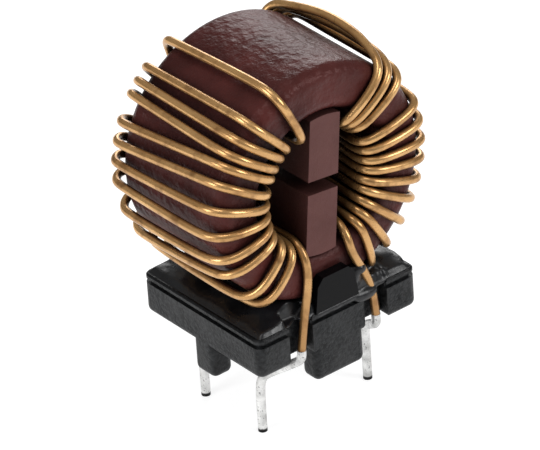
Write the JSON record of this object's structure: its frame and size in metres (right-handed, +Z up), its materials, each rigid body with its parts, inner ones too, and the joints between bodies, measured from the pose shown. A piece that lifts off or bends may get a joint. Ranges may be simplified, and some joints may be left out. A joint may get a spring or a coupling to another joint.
{
  "type": "toroidal inductor",
  "caption": "Upright toroidal inductor: a coated ring core with parted copper windings, glued to a black moulded base with feet and tinned wire pins.",
  "frame": {"origin": "centre of the seat under the feet, in the middle of the pin pattern", "axes": "+Z up from the seat, away from the pin tips; the ring's axis lies along Y and its front face looks to -Y; X runs from the left winding to the right one"},
  "size_m": [0.0248, 0.0171, 0.0356],
  "materials": {
    "ring_coat": "dark maroon coat with an orange-peel surface",
    "divider": "matte brown",
    "enamelled_wire": "clear enamel over copper",
    "base_plastic": "black moulded, fine texture",
    "adhesive": "glossy black",
    "tinned_wire": "solder-dipped, satin"
  },
  "bodies": {
    "root": {"toroid_core": "ring_coat", "divider_upper": "divider", "divider_lower": "divider", "winding_left": "enamelled_wire", "winding_right": "enamelled_wire", "mounting_base": "base_plastic", "adhesive": "adhesive", "lead_end_front_left": "tinned_wire", "lead_end_front_right": "tinned_wire", "lead_end_back_left": "tinned_wire", "lead_end_back_right": "tinned_wire"}
  },
  "joints": []
}
